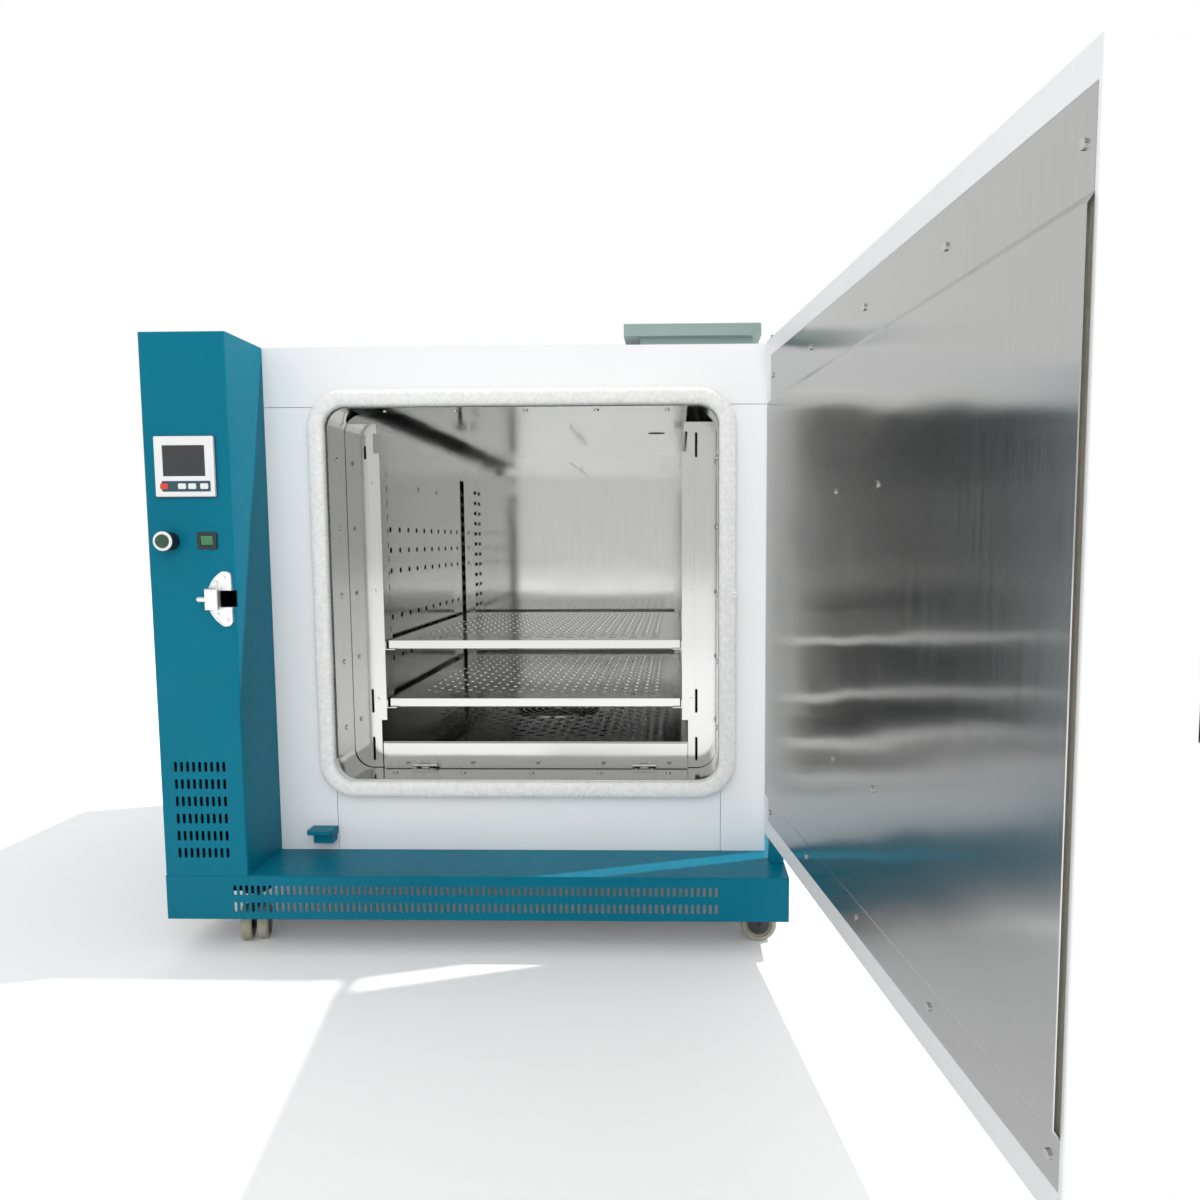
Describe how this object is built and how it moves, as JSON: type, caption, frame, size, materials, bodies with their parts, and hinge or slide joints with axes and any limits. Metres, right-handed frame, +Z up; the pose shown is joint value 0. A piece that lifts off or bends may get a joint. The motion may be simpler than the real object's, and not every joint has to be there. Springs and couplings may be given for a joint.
{
  "type": "drying oven",
  "caption": "Forced-air drying oven with a stainless shelved chamber, full-height hinged door, control column and vented plinth on swivel casters",
  "frame": {"origin": "on the floor, under the middle of the plinth's footprint", "axes": "+Z up; +X to the right seen from the front, towards the door's hinges; the front faces -Y"},
  "size_m": [1.2615, 1.7814, 1.081],
  "materials": {
    "teal_paint": "fine-textured teal powder coat",
    "white_paint": "smooth white powder coat",
    "hood_paint": "grey-green stove enamel",
    "stainless": "bright brushed stainless sheet",
    "zinc_steel": "zinc-plated steel",
    "cast_metal": "polished zinc casting",
    "silver_plastic": "satin silver moulding",
    "black_plastic": "black moulding",
    "screen_glass": "dark display window",
    "key_white": "white key cap",
    "key_red": "red key cap",
    "cap_green": "dark green button cap",
    "rocker_green": "translucent green rocker",
    "caster_tyre": "grey-olive soft tread",
    "fork_black": "black enamel",
    "glass_rope": "braided glass-fibre rope",
    "mineral_wool": "mineral wool batt",
    "motor_grey": "grey enamel",
    "heater_steel": "heat-tinted tube"
  },
  "bodies": {
    "oven": {"plinth_shell": "teal_paint", "plinth_front_panel": "teal_paint", "column_front_cover": "teal_paint", "column_side_panel": "teal_paint", "door_hinges": "teal_paint", "door_rest_bracket": "teal_paint", "fascia_top": "white_paint", "fascia_sides": "white_paint", "fascia_bottom": "white_paint", "roof_panel": "white_paint", "cabinet_side_panels": "white_paint", "back_panel": "white_paint", "vent_neck": "hood_paint", "vent_lid": "hood_paint", "chamber_liner": "stainless", "throat_collar": "stainless", "throat_screws": "stainless", "duct_panel_left": "stainless", "duct_panel_right": "stainless", "rack_rails": "stainless", "shelf_runners": "stainless", "floor_plate": "stainless", "flap_hinges": "stainless", "temperature_probe": "stainless", "latch_keeper": "cast_metal", "controller_case": "silver_plastic", "start_button_barrel": "black_plastic", "rocker_frame": "black_plastic", "cable_gland": "black_plastic", "controller_screen": "screen_glass", "chassis_frame": "fork_black", "door_gasket": "glass_rope", "insulation_batts": "mineral_wool", "fan_motor": "motor_grey", "heating_elements": "heater_steel"},
    "door": {"door_outer_skin": "white_paint", "door_inner_panel": "stainless", "door_insulation": "mineral_wool", "door_screws": "stainless", "handle_base": "black_plastic"},
    "door_lever": {"handle_lever": "cast_metal"},
    "door_tongue": {"latch_tongue": "zinc_steel"},
    "front_flap": {"access_flap": "stainless"},
    "upper_shelf": {"shelf_upper": "stainless"},
    "lower_shelf": {"shelf_lower": "stainless"},
    "power_key": {"controller_key_power": "key_red"},
    "set_key": {"controller_key_set": "key_white"},
    "down_key": {"controller_key_down": "key_white"},
    "up_key": {"controller_key_up": "key_white"},
    "start_button": {"start_button_cap": "cap_green"},
    "rocker": {"rocker_lever": "rocker_green"},
    "fan_wheel": {"impeller": "zinc_steel"},
    "swivel_fl": {"caster_fork_fl": "fork_black"},
    "wheels_fl": {"caster_wheel_fl": "caster_tyre"},
    "swivel_fr": {"caster_fork_fr": "fork_black"},
    "wheels_fr": {"caster_wheel_fr": "caster_tyre"},
    "swivel_rl": {"caster_fork_rl": "fork_black"},
    "wheels_rl": {"caster_wheel_rl": "caster_tyre"},
    "swivel_rr": {"caster_fork_rr": "fork_black"},
    "wheels_rr": {"caster_wheel_rr": "caster_tyre"}
  },
  "joints": [
    {"name": "door_hinge", "type": "hinge", "parent": "oven", "child": "door", "pos_m": [0.508, -0.4114, 0.603], "axis": [0, 0, 1], "range_deg": [-98.5, 50]},
    {"name": "lever_turn", "type": "hinge", "parent": "door", "child": "door_lever", "pos_m": [0.72316, -1.20835, 0.6005], "axis": [-0.989, -0.1478, 0], "range_deg": [-45, 0]},
    {"name": "tongue_slide", "type": "slide", "parent": "door", "child": "door_tongue", "axis": [0.1478, -0.989, 0], "range_m": [0, 0.031]},
    {"name": "flap_hinge", "type": "hinge", "parent": "oven", "child": "front_flap", "pos_m": [0.068, -0.2885, 0.272], "axis": [1, 0, 0], "range_deg": [0, 85]},
    {"name": "upper_shelf_slide", "type": "slide", "parent": "oven", "child": "upper_shelf", "axis": [0, -1, 0], "range_m": [0, 0.42]},
    {"name": "lower_shelf_slide", "type": "slide", "parent": "oven", "child": "lower_shelf", "axis": [0, -1, 0], "range_m": [0, 0.42]},
    {"name": "power_key_press", "type": "slide", "parent": "oven", "child": "power_key", "axis": [0, 1, 0], "range_m": [0, 0.0008], "stiffness_N_per_m": 500},
    {"name": "set_key_press", "type": "slide", "parent": "oven", "child": "set_key", "axis": [0, 1, 0], "range_m": [0, 0.0008], "stiffness_N_per_m": 500},
    {"name": "down_key_press", "type": "slide", "parent": "oven", "child": "down_key", "axis": [0, 1, 0], "range_m": [0, 0.0008], "stiffness_N_per_m": 500},
    {"name": "up_key_press", "type": "slide", "parent": "oven", "child": "up_key", "axis": [0, 1, 0], "range_m": [0, 0.0008], "stiffness_N_per_m": 500},
    {"name": "start_button_press", "type": "slide", "parent": "oven", "child": "start_button", "axis": [0, 1, 0], "range_m": [0, 0.003], "stiffness_N_per_m": 600},
    {"name": "rocker_tip", "type": "hinge", "parent": "oven", "child": "rocker", "pos_m": [-0.422, -0.492, 0.6945], "axis": [1, 0, 0], "range_deg": [-20, 0]},
    {"name": "fan_spin", "type": "hinge", "parent": "oven", "child": "fan_wheel", "pos_m": [0.068, 0.0415, 0.28], "axis": [0, 0, 1], "continuous": true},
    {"name": "swivel_fl_turn", "type": "hinge", "parent": "oven", "child": "swivel_fl", "pos_m": [-0.407, -0.41, 0.087], "axis": [0, 0, 1], "continuous": true},
    {"name": "wheels_fl_roll", "type": "hinge", "parent": "swivel_fl", "child": "wheels_fl", "pos_m": [-0.40144, -0.42712, 0.031], "axis": [0.9511, 0.309, 0], "continuous": true},
    {"name": "swivel_fr_turn", "type": "hinge", "parent": "oven", "child": "swivel_fr", "pos_m": [0.458, -0.41, 0.087], "axis": [0, 0, 1], "continuous": true},
    {"name": "wheels_fr_roll", "type": "hinge", "parent": "swivel_fr", "child": "wheels_fr", "pos_m": [0.476, -0.41, 0.031], "axis": [0, 1, 0], "continuous": true},
    {"name": "swivel_rl_turn", "type": "hinge", "parent": "oven", "child": "swivel_rl", "pos_m": [-0.407, 0.41, 0.087], "axis": [0, 0, 1], "continuous": true},
    {"name": "wheels_rl_roll", "type": "hinge", "parent": "swivel_rl", "child": "wheels_rl", "pos_m": [-0.42331, 0.40239, 0.031], "axis": [0.4226, -0.9063, 0], "continuous": true},
    {"name": "swivel_rr_turn", "type": "hinge", "parent": "oven", "child": "swivel_rr", "pos_m": [0.458, 0.41, 0.087], "axis": [0, 0, 1], "continuous": true},
    {"name": "wheels_rr_roll", "type": "hinge", "parent": "swivel_rr", "child": "wheels_rr", "pos_m": [0.47179, 0.39843, 0.031], "axis": [0.6428, 0.766, 0], "continuous": true}
  ],
  "couplings": [
    {"joint": "tongue_slide", "follows": "lever_turn", "m_per_rad": -0.03947}
  ]
}
